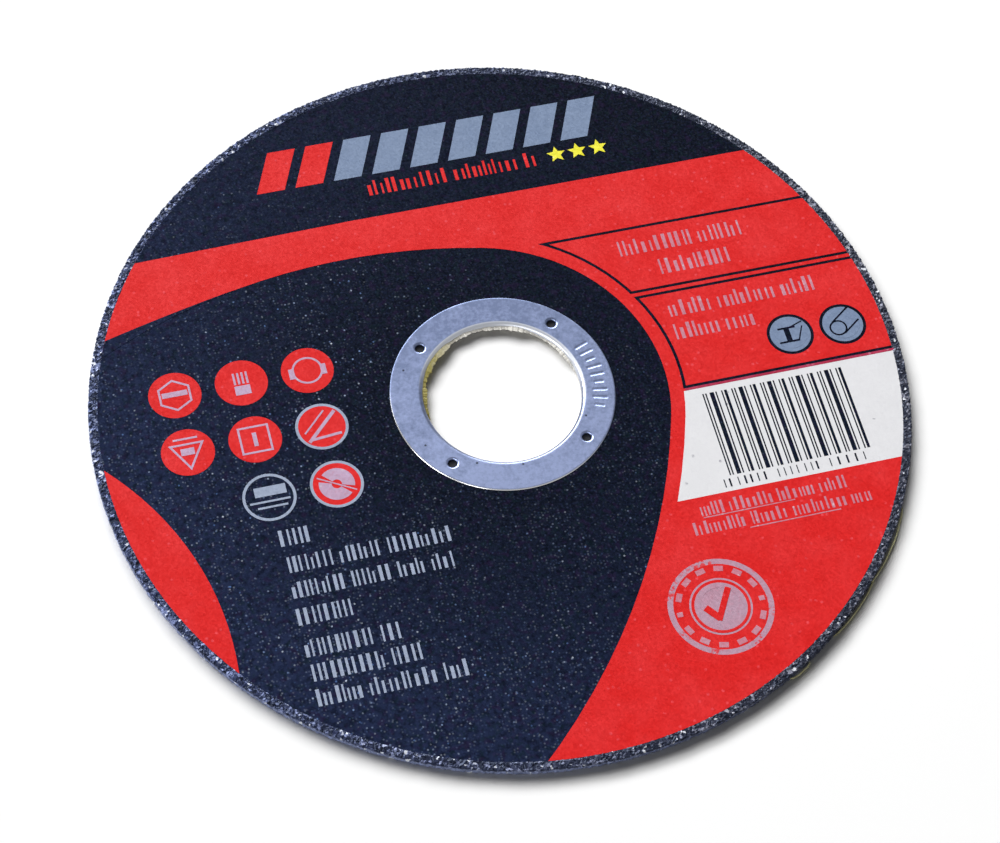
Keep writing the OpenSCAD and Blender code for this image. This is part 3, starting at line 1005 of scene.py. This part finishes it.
def field_arc(x):
    """Lower edge of the red field, a trace below it."""
    return BAND_ARC_MID[1] + np.sqrt(BAND_ARC_R**2 - (x - BAND_ARC_MID[0]) ** 2) - BAND_OVERLAP


def flat_edge(x):
    """Edge of the ground below the band, flatter than the arc of the red field."""
    away = FLAT_EDGE_FROM[0] - x
    return FLAT_EDGE_FROM[1] - FLAT_EDGE_SLOPE * away - FLAT_EDGE_BEND * away**2


def dipped_edge(x):
    """Edge of the ground above the band, which dips towards the rim."""
    return BAND_TOP - DIP_SLOPE * (DIP_FROM - x)


def field_top(x):
    """Upper edge of the red field, a trace above it."""
    return BAND_TOP + BAND_OVERLAP + 0 * x


def edge_to_rim(edge, right):
    """Points of an edge from the right to the rim of the print."""
    trial = np.linspace(right, -PRINT_R, 4000)
    rim_x = trial[np.hypot(trial, edge(trial)) < PRINT_R][-1]
    x = np.linspace(right, rim_x, FILM_STEPS)
    return x, edge(x)


def band_end_ground():
    """Thin dark films over the left end of the red band, each between two edges."""
    films = []
    for right, low, high in ((FLAT_EDGE_FROM[0], field_arc, flat_edge), (DIP_FROM, dipped_edge, field_top)):
        points = []
        for edge, lift in ((low, 0), (high, 0), (high, SLAB_T), (low, SLAB_T)):
            x, y = edge_to_rim(edge, right)
            points.append(np.stack([x, y, 0 * x + COLOUR_TOP + lift], 1))
        films.append((np.concatenate(points), tube_faces(4, FILM_STEPS)))
    add_piece("band_end_ground", *joined(films), BLACK_INK, "black_ink")


rim_grain()
rim_threads()
arbor_hole_flash()
arbor_ring()
hole_burrs()
stroke_piece("small_print_grey", GREY_ROWS, GROUND_TOP, GREY_INK, "grey_ink")
stroke_piece("small_print_lilac", LILAC_ROWS, COLOUR_TOP, LILAC_INK, "grey_ink")
stroke_piece("small_print_red", RED_ROWS, GROUND_TOP, RED_INK, "red_ink")
stroke_piece("small_print_dark", DARK_ROWS, COLOUR_TOP, BLACK_INK, "black_ink")
spot_marks()
grey_spot_marks()
target_blocks()
target_spot()
panel_edge()
band_end_ground()


# Camera, from the outline of rim and ring in the photograph

CAMERA_AZIMUTH = math.radians(-19.2)
CAMERA_ELEVATION = math.radians(58.74)
CAMERA_ROLL = math.radians(-5.53)
CAMERA_LENS = 99.49
CAMERA_AWAY = 387.8
CAMERA_ASIDE = (0.322, 3.578)

view_right = Vector((math.cos(CAMERA_AZIMUTH), math.sin(CAMERA_AZIMUTH), 0))
view_level = Vector((-math.sin(CAMERA_AZIMUTH), math.cos(CAMERA_AZIMUTH), 0))
view_ahead = view_level * math.cos(CAMERA_ELEVATION) - Vector((0, 0, math.sin(CAMERA_ELEVATION)))
view_up = view_right.cross(view_ahead)
frame_right = view_right * math.cos(CAMERA_ROLL) - view_up * math.sin(CAMERA_ROLL)
frame_up = view_right * math.sin(CAMERA_ROLL) + view_up * math.cos(CAMERA_ROLL)
stand = -view_ahead * CAMERA_AWAY - frame_right * CAMERA_ASIDE[0] - frame_up * CAMERA_ASIDE[1]

camera_data = bpy.data.cameras.new("camera")
camera_data.sensor_fit = "HORIZONTAL"
camera_data.sensor_width = 36
camera_data.lens = CAMERA_LENS
camera_data.clip_start = 0.01
camera = bpy.data.objects.new("camera", camera_data)
scene.collection.objects.link(camera)
axes = Matrix((frame_right, frame_up, -view_ahead)).transposed().to_4x4()
camera.matrix_world = Matrix.Translation(stand * MM) @ axes
scene.camera = camera


# Lamps

KEY_AWAY = 4.5
KEY_TURN = math.radians(33.5)
# Behind on the left: name, elevation, width, height and power
KEY_LAMPS = [
    ("key_high", 43, 6.6, 1.5, 67),
    ("key", 30.5, 7.4, 1.36, 211),
    ("key_low", 23, 5.8, 0.7, 226),
]
# In front, for the wheel alone: name, place, width, height and power
FRONT_LAMPS = [
    ("front_left", (-2.2, -1.6, 1.3), 1.8, 0.9, 28),
    ("front", (-0.7, -2.4, 1.6), 1.1, 1.0, 11),
]


def add_lamp(name, place, width, height, power):
    """A soft lamp that looks at the wheel. Its place is aside, ahead and up along the view, in metres."""
    data = bpy.data.lights.new(name, "AREA")
    data.shape = "ELLIPSE"
    data.size = width
    data.size_y = height
    data.energy = power
    lamp = bpy.data.objects.new(name, data)
    scene.collection.objects.link(lamp)
    aside, ahead, up = place
    stands = view_right * aside + view_level * ahead + Vector((0, 0, up))
    lamp.matrix_world = Matrix.Translation(stands) @ stands.to_track_quat("Z", "Y").to_matrix().to_4x4()
    return lamp


def spare_floor(lamps, floor):
    """The lamps that only shape the wheel leave the floor out, so that its shadow stays dark."""
    group = bpy.data.collections.new("lit_without_floor")
    group.objects.link(floor)
    group.collection_objects[0].light_linking.link_state = "EXCLUDE"
    for lamp in lamps:
        lamp.light_linking.receiver_collection = group


# Floor and world

FLOOR_REACH = 3000
FLOOR_DROP = 0.02
WORLD_FILL = 0.07
WORLD_IN_METAL = 0.45


def white_floor():
    """A matt white floor, a trace below the wheel."""
    corners = [(x * FLOOR_REACH, y * FLOOR_REACH, 0) for x, y in ((-1, -1), (1, -1), (1, 1), (-1, 1))]
    floor = shape_object("floor", corners, [(0, 1, 2, 3)])
    floor.location.z = -FLOOR_DROP * MM
    finish = Finish("white_floor", Specular_IOR_Level=0, Base_Color=(1, 1, 1, 1))
    floor.data.materials.append(finish.material)
    return floor


def light_world():
    """A world that is dim for the wheel, brighter in the metal, and white for the camera."""
    world = bpy.data.worlds.new("world")
    world.use_nodes = True
    sky = ShaderTree(world.node_tree)
    in_metal = sky.add("ShaderNodeLightPath", out="Is Glossy Ray")
    seen = sky.add("ShaderNodeLightPath", out="Is Camera Ray")
    strength = WORLD_FILL + (WORLD_IN_METAL - WORLD_FILL) * in_metal + (1 - WORLD_FILL) * seen
    background = world.node_tree.nodes["Background"]
    background.inputs["Color"].default_value = (1, 1, 1, 1)
    world.node_tree.links.new(strength.socket, background.inputs["Strength"])
    scene.world = world


for name, elevation, width, height, power in KEY_LAMPS:
    turn = math.radians(elevation)
    level_away = KEY_AWAY * math.cos(turn)
    place = (-level_away * math.sin(KEY_TURN), level_away * math.cos(KEY_TURN), KEY_AWAY * math.sin(turn))
    add_lamp(name, place, width, height, power)
front_lamps = [add_lamp(*lamp) for lamp in FRONT_LAMPS]
spare_floor(front_lamps, white_floor())
light_world()
